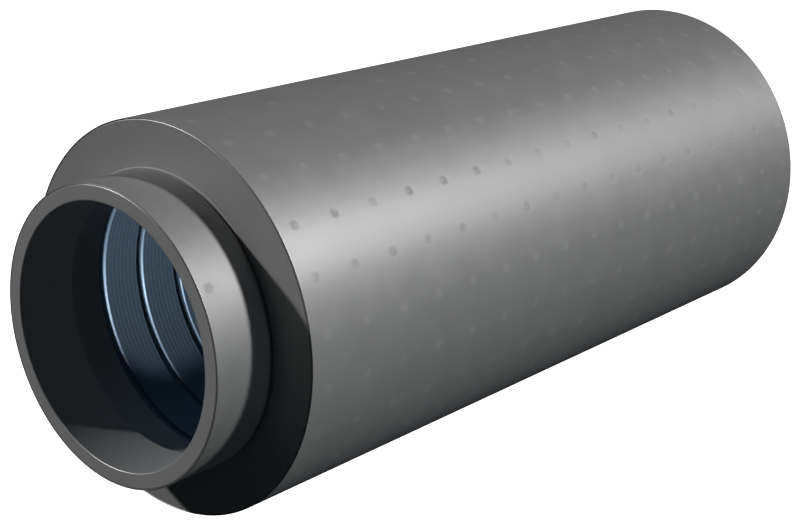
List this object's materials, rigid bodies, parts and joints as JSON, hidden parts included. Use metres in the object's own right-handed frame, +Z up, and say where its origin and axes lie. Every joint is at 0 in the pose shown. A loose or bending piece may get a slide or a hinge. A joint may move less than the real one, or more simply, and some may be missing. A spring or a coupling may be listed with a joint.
{
  "type": "duct sound attenuator",
  "caption": "Circular duct sound attenuator with a rolled casing, flat end plates, double-walled spigots and a lined airway.",
  "frame": {"origin": "middle of the duct axis, halfway between the two end plates", "axes": "+Y along the duct axis towards the rear spigot, +Z up, +X to the right seen from the front mouth"},
  "size_m": [0.4, 1.041, 0.3999],
  "materials": {
    "casing_steel": "satin galvanised sheet, rolled, with rows of spot marks",
    "plate_steel": "satin galvanised sheet, pressed",
    "spigot_steel": "satin galvanised sheet, rolled and spun",
    "liner_steel": "blue-grey finely corrugated sheet with micro perforation",
    "glass_fleece": "matt white glass fleece",
    "mineral_wool": "matt yellow-brown mineral wool"
  },
  "bodies": {
    "root": {"casing_shell": "casing_steel", "front_end_plate": "plate_steel", "rear_end_plate": "plate_steel", "front_spigot": "spigot_steel", "rear_spigot": "spigot_steel", "front_mouth_ring": "spigot_steel", "rear_mouth_ring": "spigot_steel", "front_mouth_packing": "mineral_wool", "rear_mouth_packing": "mineral_wool", "perforated_liner": "liner_steel", "fleece_wrap": "glass_fleece", "inner_wool_left": "mineral_wool", "inner_wool_right": "mineral_wool", "outer_wool_upper": "mineral_wool", "outer_wool_lower": "mineral_wool"}
  },
  "joints": []
}
